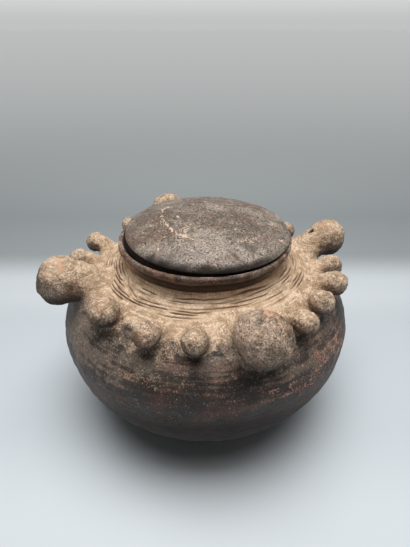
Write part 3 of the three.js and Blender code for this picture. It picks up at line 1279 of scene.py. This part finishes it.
# How dusty a knob's top is against the others
KNOB_DUST = {
    "knob_big_front": 0.5,
    "knob_big_left": 1.3,
    "knob_big_right": 1.3,
    "knob_small_front_left_1": 1.15,
    "knob_small_front_left_2": 0.75,
}

# Worn pinkish spots on the knobs: place and radius in millimetres
KNOB_BLUSHES = (
    (45, -119, 183, 10),
    (-80, -93, 168, 4),
    (-121, -50, 180, 6.5),
    (-44, -118, 164, 3.5),
    (119, 34, 178, 5),
    (104, -57, 164, 4),
)

# Darker stains on the knobs, given as the lid's tones are but in space
KNOB_STAINS = (
    (-146, -40, 162, 16, -0.46),
    (-104, -34, 190, 9, -0.16),
    (-137, -26, 181, 8, -0.12),
    (-92, -96, 158, 7, -0.22),
    (-52, -119, 160, 6, -0.22),
    (-40, -124, 166, 5, -0.14),
    (30, -124, 168, 8, -0.14),
    (58, -128, 170, 9, -0.1),
)

# Holes pricked with a stick: place in millimetres, and radius
PRICKS = (
    (108.5, 35.0, 171.5, 2.7),
    (-66.5, -85.0, 151.5, 1.9),
    (-34.5, -104.0, 150.5, 1.3),
)


def build_knobs(context, kind, skirt, columns):
    """Builds every knob whose node's name starts with the kind."""
    sizes, lines = context.scene.clay_jar, context.scene.clay_jar_lines
    knobs = context.scene.clay_jar_knobs
    finish = handled_knob(context.scene.clay_jar_colours)
    for k, (node, (head, ball)) in enumerate(knob_heads(kind).items()):
        ball *= HEAD_SHARE
        neck = ball * NECK_SHARES.get(node, SMALL_NECK_SHARE)
        seed = 500 + 10 * k + len(kind)
        grid, tip, on_head, normals = knob_grid(
            sizes, lines, knobs, head, ball, neck, skirt, columns, seed
        )
        up = normals[..., 2]
        hole = np.zeros_like(up)
        for *place, size in PRICKS:
            hole = np.maximum(hole, smooth_step(1.25, 0.75, spot_gap(grid, place, size)))
        grid = grid - normals * (3.5 * MM * hole)[..., None]
        blush = np.zeros_like(up)
        for *place, size in KNOB_BLUSHES:
            blush = np.maximum(blush, np.exp(-(spot_gap(grid, place, size) ** 2)))
        stain = spots(grid, KNOB_STAINS)
        dusty = KNOB_DUST.get(node, 1.0) * smooth_step(-0.15, 0.9, up)
        earth, shade = clay_cover(grid)
        earth = (1 - on_head) * earth + on_head * (0.66 * dusty + 1.2 * stain)
        # Painted shade: darker on each knob's downward-facing side and, on the skirt, below the
        # knob; the darker stains join it
        soot = 0.8 * smooth_step(0.3, -0.6, up) + (1 - on_head) * shade
        soot = np.maximum(soot, -1.6 * stain)
        piece = make_skin(
            node.replace("knob", "luted_knob"),
            grid,
            None,
            tip,
            earth=np.clip(earth, 0, 1),
            groove=0 * up,
            worn=blush * np.clip(0.74 + 0.25 * ripple(grid, 5 * MM, seed + 400), 0, 1),
            # Inside the pricked holes the darkening is painted shade
            soot=np.maximum(soot, 1.6 * hole),
            tone=stain,
        )
        piece.data.materials.append(finish)
        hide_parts(node)
        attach(piece, "jar")


class JAR_OT_big_knobs(bpy.types.Operator):
    """Build the four large knobs"""

    bl_idname = "clay_jar.big_knobs"
    bl_label = "Large knobs"

    def execute(self, context):
        knobs = context.scene.clay_jar_knobs
        build_knobs(context, "knob_big", knobs.big_skirt, knobs.big_columns)
        return {"FINISHED"}


class JAR_OT_small_knobs(bpy.types.Operator):
    """Build the small knobs between the large ones"""

    bl_idname = "clay_jar.small_knobs"
    bl_label = "Small knobs"

    def execute(self, context):
        knobs = context.scene.clay_jar_knobs
        build_knobs(context, "knob_small", knobs.small_skirt, knobs.small_columns)
        return {"FINISHED"}


# Sockets of a mix node that mixes colours
MIX_FACTOR, MIX_A, MIX_B, MIX_RESULT = 0, 6, 7, 2


def add_node(tree, kind, inputs, **settings):
    """Adds a node. Each input is set to a value, or linked from another node's socket."""
    made = tree.nodes.new(kind)
    for name, value in settings.items():
        setattr(made, name, value)
    for name, value in inputs.items():
        if isinstance(value, bpy.types.NodeSocket):
            tree.links.new(value, made.inputs[name])
        else:
            made.inputs[name].default_value = value
    mixes_colour = kind == "ShaderNodeMix" and made.data_type == "RGBA"
    return made.outputs[MIX_RESULT if mixes_colour else 0]


def colour(value):
    """A linear colour with its alpha."""
    return (*value, 1.0)


def new_finish(name):
    """A material with an empty tree, its shader and its output."""
    material = bpy.data.materials.new(name)
    material.use_nodes = True
    tree = material.node_tree
    tree.nodes.clear()
    shader = tree.nodes.new("ShaderNodeBsdfPrincipled")
    output = tree.nodes.new("ShaderNodeOutputMaterial")
    tree.links.new(shader.outputs[0], output.inputs["Surface"])
    return material, tree, shader


# Patterns of the clay: size across in millimetres, detail and seed. Fire clouds, drifts of
# colour, mottling, and the grains, flecks and pits of the coarse clay. The grains of the real
# clay go down to dust, and the finest are drawn at 1.2 mm.
PATTERNS = {
    "clouds": (38, 2.0, 0.0),
    "drift": (22, 1.5, 3.1),
    "mottle": (7, 3.0, 1.3),
    "grain": (1.2, 1.5, 5.2),
    "flecks": (1.4, 1.0, 2.3),
    "pits": (1.6, 1.0, 7.1),
}

# Marks of the hand and the rubbing pebble, level round the jar: length and height in
# millimetres, and detail
STROKES = {"strokes": (50, 3.0, 2.0), "wipes": (26, 0.9, 2.0)}

# Measures that each piece carries at its points: clinging earth, depth of scratches, soot together
# with painted shade, wear with a painted highlight on the collar's lip, and how much lighter the
# clay is, with painted light on the collar's sides and a painted sheen on the lid
FIELDS = ("earth", "groove", "soot", "worn", "tone")


def clay_fields(tree):
    """The patterns, the strokes and the piece's own measures, by name."""
    place = add_node(tree, "ShaderNodeTexCoord", {}).node.outputs["Object"]
    field = {}
    for key, (size, detail, seed) in PATTERNS.items():
        field[key] = add_node(
            tree,
            "ShaderNodeTexNoise",
            {"Vector": place, "W": seed, "Scale": 1 / (size * MM), "Detail": detail},
            noise_dimensions="4D",
        )
    for key, (length, height, detail) in STROKES.items():
        squeeze = (1 / (length * MM), 1 / (length * MM), 1 / (height * MM))
        stretched = add_node(
            tree, "ShaderNodeVectorMath", {0: place, 1: squeeze}, operation="MULTIPLY"
        )
        field[key] = add_node(
            tree, "ShaderNodeTexNoise", {"Vector": stretched, "Scale": 1.0, "Detail": detail}
        )
    for key in FIELDS:
        attribute = add_node(tree, "ShaderNodeAttribute", {}, attribute_name=key)
        field[key] = attribute.node.outputs["Fac"]
    return field


def layer_shares(tree, field, look):
    """How much of each layer shows: a weighted sum of patterns, turned to a share between two
    levels, times a strength. The levels count from the middle of the patterns."""
    rag = look["ragged"]
    bend = look["strokes"]
    cloudy = {"clouds": 1, "mottle": look["blotches"], "strokes": bend, "tone": 1}
    drifting = {"drift": 0.7, "mottle": 0.4, "strokes": 0.8 * bend, "tone": -0.4}
    scuffed = {"worn": 1, "mottle": 0.8 * rag, "grain": 2.2 * rag, "strokes": bend * rag}
    layers = {
        "dark": (cloudy, 0.0, -0.16, look["contrast"]),
        "light": (cloudy, 0.0, 0.16, look["contrast"]),
        "warm": (drifting, -0.02, 0.14, look["warmth"]),
        "rubbed": (scuffed, 0.42, 0.75, 0.9),
        "fleck": ({"flecks": 1, "mottle": 0.3, "tone": 0.2}, 0.10, 0.20, look["flecks"]),
        "damp": ({"mottle": 1, "wipes": 0.7, "drift": 0.5}, 0.06, -0.14, 0.7),
        "dust": ({"grain": 0.6, "wipes": 0.8, "mottle": 0.5}, 0.0, 0.2, 0.6),
        "earthy": ({"earth": 1, "mottle": 0.7, "grain": 0.9}, 0.14, 0.82, look["cling"]),
        "pitted": ({"pits": 1, "mottle": 0.2}, 0.08, 0.18, look["pits"]),
        # Darker in the bottoms of the scratched lines and in the lid's crack: painted shade, with
        # clay there bare of earth
        "furrow": ({"groove": 1, "grain": 0.6}, 0.15, 0.9, 0.85),
        # Soot together with painted shade
        "smoke_and_shade": ({"soot": 1, "mottle": 0.5}, 0.08, 0.95, 0.95),
    }
    share = {}
    for key, (parts, low, high, strength) in layers.items():
        total = 0.0
        middle = 0.0
        for part, weight in parts.items():
            total = add_node(
                tree,
                "ShaderNodeMath",
                {0: field[part], 1: weight, 2: total},
                operation="MULTIPLY_ADD",
            )
            middle += 0.0 if part in FIELDS else 0.5 * weight
        share[key] = add_node(
            tree,
            "ShaderNodeMapRange",
            {
                "Value": total,
                "From Min": middle + low,
                "From Max": middle + high,
                "To Max": strength,
            },
            interpolation_type="SMOOTHSTEP",
        )
    return share


def speckled(tree, grain, tint, strength):
    """Makes each grain of a colour a little darker or lighter than the next."""
    grains = add_node(
        tree,
        "ShaderNodeMapRange",
        {
            "Value": grain,
            "From Min": 0.36,
            "From Max": 0.64,
            "To Min": 1 - strength,
            "To Max": 1 + strength,
        },
    )
    return add_node(
        tree,
        "ShaderNodeMix",
        {MIX_FACTOR: 1.0, MIX_A: tint, MIX_B: grains},
        data_type="RGBA",
        blend_type="MULTIPLY",
    )


def clay_colour(tree, field, share, colours, look):
    """The body of the clay with its layers over it, and the clinging earth as one of them."""
    earth_colour = colour(colours.earth)
    for key, tint in (("damp", colours.damp_earth), ("dust", colours.pale)):
        earth_colour = add_node(
            tree,
            "ShaderNodeMix",
            {MIX_FACTOR: share[key], MIX_A: earth_colour, MIX_B: colour(tint)},
            data_type="RGBA",
        )
    earth_colour = speckled(tree, field["grain"], earth_colour, look["grit"])
    body = colour(look["base"])
    for key, tint in (
        ("dark", colour(look["dark"])),
        ("light", colour(look["light"])),
        ("warm", colour(look["warm"])),
        ("fleck", colour(colours.pale)),
        ("pitted", colour(look["pit"])),
        ("earthy", earth_colour),
        ("rubbed", colour(look["worn"])),
        ("furrow", colour(colours.furrow)),
        ("smoke_and_shade", colour(look["soot"])),
    ):
        if key == "earthy":
            body = speckled(tree, field["grain"], body, look["speckle"])
        body = add_node(
            tree,
            "ShaderNodeMix",
            {MIX_FACTOR: share[key], MIX_A: body, MIX_B: tint},
            data_type="RGBA",
        )
    return body


def clay_roughness(tree, field, share, gloss):
    """Rubbed clay is smoother than earth, soot and painted shade, and the strokes make its sheen
    uneven.
    """
    matt = add_node(
        tree,
        "ShaderNodeMath",
        {0: share["earthy"], 1: share["smoke_and_shade"]},
        operation="MAXIMUM",
    )
    matt = add_node(tree, "ShaderNodeMapRange", {"Value": matt, "To Min": gloss, "To Max": 0.9})
    uneven = add_node(
        tree,
        "ShaderNodeMapRange",
        {
            "Value": field["strokes"],
            "From Min": 0.3,
            "From Max": 0.7,
            "To Min": -0.06,
            "To Max": 0.1,
        },
    )
    return add_node(tree, "ShaderNodeMath", {0: matt, 1: uneven}, operation="ADD")


def clay_relief(tree, field, share, look):
    """Relief of the grains, the pits and the wiping, up to 0.6 mm deep."""
    relief = field["grain"]
    for part, weight in (
        (share["pitted"], -0.8),
        (field["mottle"], 0.5),
        (field["wipes"], look["wiped"]),
    ):
        relief = add_node(
            tree, "ShaderNodeMath", {0: part, 1: weight, 2: relief}, operation="MULTIPLY_ADD"
        )
    return add_node(
        tree,
        "ShaderNodeBump",
        {"Strength": look["relief"], "Distance": 0.6 * MM, "Height": relief},
    )


def fired_clay(name, colours, look):
    """Low-fired coarse clay: mottled by the fire, worn in patches, with earth clinging to it."""
    material, tree, shader = new_finish(name)
    field = clay_fields(tree)
    share = layer_shares(tree, field, look)
    tint = clay_colour(tree, field, share, colours, look)
    roughness = clay_roughness(tree, field, share, look["gloss"])
    relief = clay_relief(tree, field, share, look)
    tree.links.new(tint, shader.inputs["Base Color"])
    tree.links.new(roughness, shader.inputs["Roughness"])
    tree.links.new(relief, shader.inputs["Normal"])
    shader.inputs["IOR"].default_value = 1.5
    return material


def burnished_earthenware(colours):
    """Burnished earthenware: rubbed with a pebble before firing, so it has a low, uneven sheen."""
    look = {
        "base": colours.chocolate,
        "dark": colours.smoke_and_shade,
        "light": colours.umber,
        "warm": colours.oxide,
        "worn": colours.ember,
        "pit": colours.smoke_and_shade,
        "soot": colours.smoke_and_shade,
        "contrast": 0.8,
        "blotches": 0.5,
        "warmth": 0.26,
        "strokes": 0.8,
        "flecks": 0.2,
        "cling": 1.0,
        "ragged": 1.0,
        "pits": 0.4,
        "speckle": 0.3,
        "grit": 0.12,
        "gloss": 0.5,
        "relief": 0.6,
        "wiped": 1.1,
    }
    return fired_clay("Burnished smoked earthenware", colours, look)


def smoked_collar(colours):
    """Smoked red-brown earthenware: darker than the shoulder, with a rubbed lip whose pale line is
    also a painted highlight.
    """
    look = {
        "base": colours.furrow,
        "dark": colours.smoke_and_shade,
        "light": colours.umber,
        "warm": colours.oxide,
        "worn": colours.knob_rubbed,
        "pit": colours.smoke_and_shade,
        "soot": colours.under_lip_shade,
        "contrast": 0.8,
        "blotches": 0.9,
        "warmth": 0.6,
        "strokes": 0.5,
        "flecks": 0.2,
        "cling": 0.9,
        "ragged": 0.5,
        "pits": 0.5,
        "speckle": 0.35,
        "grit": 0.15,
        "gloss": 0.6,
        "relief": 0.55,
        "wiped": 0.4,
    }
    return fired_clay("Smoked red-brown earthenware", colours, look)


def smoothed_lid(colours):
    """Wiped and lightly burnished earthenware: grey-brown, finely speckled, with a soft sheen."""
    look = {
        "base": colours.lid_clay,
        "dark": colours.lid_dark,
        "light": colours.lid_light,
        "warm": colours.lid_warm,
        "worn": colours.chip,
        "pit": colours.lid_pit,
        "soot": colours.smoke_and_shade,
        "contrast": 0.8,
        "blotches": 1.0,
        "warmth": 0.6,
        "strokes": 0.15,
        "flecks": 0.4,
        "cling": 0.8,
        "ragged": 0.4,
        "pits": 0.8,
        "speckle": 0.42,
        "grit": 0.3,
        "gloss": 0.42,
        "relief": 0.6,
        "wiped": 0.1,
    }
    return fired_clay("Smoothed grey-brown earthenware", colours, look)


def handled_knob(colours):
    """Coarse hand-pressed earthenware: rough and pitted, paler where hands have rubbed it."""
    look = {
        "base": colours.knob_clay,
        "dark": colours.knob_dark,
        "light": colours.knob_rubbed,
        "warm": colours.knob_warm,
        "worn": colours.blush,
        "pit": colours.chocolate,
        "soot": colours.smoke_and_shade,
        "contrast": 0.85,
        "blotches": 0.9,
        "warmth": 0.45,
        "strokes": 0.1,
        "flecks": 0.5,
        "cling": 0.9,
        "ragged": 0.6,
        "pits": 0.7,
        "speckle": 0.4,
        "grit": 0.2,
        "gloss": 0.7,
        "relief": 0.8,
        "wiped": 0.5,
    }
    return fired_clay("Hand-pressed coarse earthenware", colours, look)


def softbox(name, place, size, power, spread):
    """A large soft light that faces straight down."""
    data = bpy.data.lights.new(name, "AREA")
    data.shape = "RECTANGLE"
    data.size, data.size_y = size
    data.energy = power
    data.spread = math.radians(spread)
    lamp = bpy.data.objects.new(name, data)
    lamp.location = place
    bpy.context.scene.collection.objects.link(lamp)


def high_window(settings):
    """Even, soft light from almost straight above."""
    data = bpy.data.lights.new("high_window", "SUN")
    data.energy = settings.window_power
    data.angle = settings.window_angle
    window = bpy.data.objects.new("high_window", data)
    window.rotation_euler = (0, settings.window_lean, 0)
    bpy.context.scene.collection.objects.link(window)


def photo_camera(settings):
    """The camera at the photograph's place and viewing angle."""
    data = bpy.data.cameras.new("photo_camera")
    data.lens = settings.lens
    data.sensor_width = 36.0
    data.sensor_fit = "AUTO"
    data.clip_start = 0.01
    camera = bpy.data.objects.new("photo_camera", data)
    camera.location = settings.camera_place
    camera.rotation_euler = (math.pi / 2 - settings.camera_pitch, 0, 0)
    bpy.context.scene.collection.objects.link(camera)
    return camera


def studio_air(settings):
    """Soft light from all round, brightest low down behind the jar."""
    world = bpy.data.worlds.new("Studio air")
    world.use_nodes = True
    tree = world.node_tree
    air = tree.nodes["Background"]
    way = tree.nodes.new("ShaderNodeTexCoord").outputs["Generated"]
    parts = add_node(tree, "ShaderNodeSeparateXYZ", {"Vector": way}).node.outputs

    # How the light changes up and to the back: the axis, from where to where, and its strengths
    glow = 1.0
    for key, low, high, first, last in (
        ("Z", 0.0, 0.05, settings.horizon, 1.22 * settings.horizon),
        ("Z", 0.05, 0.28, 1.0, settings.fill),
        ("Y", -0.9, 0.8, 0.22, 1.0),
    ):
        part = add_node(
            tree,
            "ShaderNodeMapRange",
            {
                "Value": parts[key],
                "From Min": low,
                "From Max": high,
                "To Min": first,
                "To Max": last,
            },
            interpolation_type="SMOOTHSTEP",
        )
        glow = add_node(tree, "ShaderNodeMath", {0: part, 1: glow}, operation="MULTIPLY")
    air.inputs["Color"].default_value = colour(settings.air)
    tree.links.new(glow, air.inputs["Strength"])
    return world


def paper_with_painted_light(settings):
    """Matt studio paper with painted light and shade: pale round the jar, darker beside it as a
    painted shadow, grey behind it as painted shade, and paler again far away as painted light that
    makes up for the lights' falloff.
    """
    paper, tree, shader = new_finish("Matt paper with painted light and shade")
    place = add_node(tree, "ShaderNodeTexCoord", {}).node.outputs["Object"]
    back = add_node(tree, "ShaderNodeSeparateXYZ", {"Vector": place}).node.outputs["Y"]

    # How near the paper is to the spot under the camera: one over the distance in metres. It brings
    # in the paler far paper, painted light that makes up for the lights' falloff.
    away = add_node(tree, "ShaderNodeMath", {0: back, 1: 0.34}, operation="ADD")
    away = add_node(tree, "ShaderNodeMath", {0: away, 1: 0.3}, operation="MAXIMUM")
    nearness = add_node(tree, "ShaderNodeMath", {0: 1.0, 1: away}, operation="DIVIDE")
    far = add_node(
        tree,
        "ShaderNodeMapRange",
        {"Value": nearness, "From Min": 0.0, "From Max": 1.25},
    )
    turn = add_node(
        tree,
        "ShaderNodeMapRange",
        {"Value": back, "From Min": settings.turn_start, "From Max": settings.turn_end},
        interpolation_type="SMOOTHSTEP",
    )
    grey = add_node(
        tree,
        "ShaderNodeMix",
        {
            MIX_FACTOR: far,
            MIX_A: colour(settings.paper_far_light),
            MIX_B: colour(settings.paper_back_shade),
        },
        data_type="RGBA",
    )

    # The painted shadow beside the jar: from where it starts to where it is full, in metres
    beside_shadow = 1.0
    for start, full in ((-0.17, -0.07), (0.17, 0.1)):
        edge = add_node(
            tree,
            "ShaderNodeMapRange",
            {"Value": back, "From Min": start, "From Max": full},
            interpolation_type="SMOOTHSTEP",
        )
        beside_shadow = add_node(tree, "ShaderNodeMath", {0: edge, 1: beside_shadow}, operation="MULTIPLY")
    pale = add_node(
        tree,
        "ShaderNodeMix",
        {
            MIX_FACTOR: beside_shadow,
            MIX_A: colour(settings.paper_pale),
            MIX_B: colour(settings.paper_painted_shadow),
        },
        data_type="RGBA",
    )
    tone = add_node(
        tree,
        "ShaderNodeMix",
        {MIX_FACTOR: turn, MIX_A: pale, MIX_B: grey},
        data_type="RGBA",
    )
    tree.links.new(tone, shader.inputs["Base Color"])
    shader.inputs["Roughness"].default_value = 0.95
    shader.inputs["Specular IOR Level"].default_value = 0.1
    return paper


class JAR_OT_stage(bpy.types.Operator):
    """Build the pale floor, the soft lights and the camera"""

    bl_idname = "clay_jar.stage"
    bl_label = "Stage"

    def execute(self, context):
        settings = context.scene.clay_jar_stage
        bpy.ops.mesh.primitive_plane_add(size=60, location=(0, 0, -0.2 * MM))
        floor = context.active_object
        floor.name = "pale_floor"
        floor.data.materials.append(paper_with_painted_light(settings))

        softbox("overhead_softbox", settings.key_place, (0.9, 0.6), settings.key_power, 90)
        high_window(settings)
        context.scene.world = studio_air(settings)
        context.scene.camera = photo_camera(settings)
        context.scene.view_settings.view_transform = "Standard"
        return {"FINISHED"}


class JAR_PT_panel(bpy.types.Panel):
    """Lists the pieces of the jar in the sidebar"""

    bl_idname = "JAR_PT_panel"
    bl_label = "Clay Jar"
    bl_space_type = "VIEW_3D"
    bl_region_type = "UI"
    bl_category = "Clay Jar"

    def draw(self, context):
        """Draws a button for each piece and the sizes and colours under them"""
        for operator in OPERATORS:
            self.layout.operator(operator.bl_idname)
        for name in PROPERTY_GROUPS:
            group = getattr(context.scene, name)
            box = self.layout.box()
            for key in group.bl_rna.properties.keys():
                if key not in ("rna_type", "name"):
                    box.prop(group, key)


OPERATORS = (
    JAR_OT_stage,
    JAR_OT_body,
    JAR_OT_collar,
    JAR_OT_big_knobs,
    JAR_OT_small_knobs,
    JAR_OT_lid,
)
PROPERTY_GROUPS = {
    "clay_jar": JarSizes,
    "clay_jar_lines": LineSizes,
    "clay_jar_collar": CollarSizes,
    "clay_jar_lid": LidSizes,
    "clay_jar_knobs": KnobSizes,
    "clay_jar_colours": ClayColours,
    "clay_jar_stage": StageSettings,
}


def register():
    """Adds the settings, the operators and the panel."""
    for group in PROPERTY_GROUPS.values():
        bpy.utils.register_class(group)
    for name, group in PROPERTY_GROUPS.items():
        setattr(bpy.types.Scene, name, PointerProperty(type=group))
    for operator in OPERATORS:
        bpy.utils.register_class(operator)
    bpy.utils.register_class(JAR_PT_panel)


def unregister():
    """Takes the panel, the operators and the settings away again."""
    bpy.utils.unregister_class(JAR_PT_panel)
    for operator in reversed(OPERATORS):
        bpy.utils.unregister_class(operator)
    for name in PROPERTY_GROUPS:
        delattr(bpy.types.Scene, name)
    for group in reversed(list(PROPERTY_GROUPS.values())):
        bpy.utils.unregister_class(group)


def main():
    """Builds the stage and every piece."""
    register()
    bpy.ops.clay_jar.stage()
    bpy.ops.clay_jar.body()
    bpy.ops.clay_jar.collar()
    bpy.ops.clay_jar.big_knobs()
    bpy.ops.clay_jar.small_knobs()
    bpy.ops.clay_jar.lid()


if __name__ == "__main__":
    main()
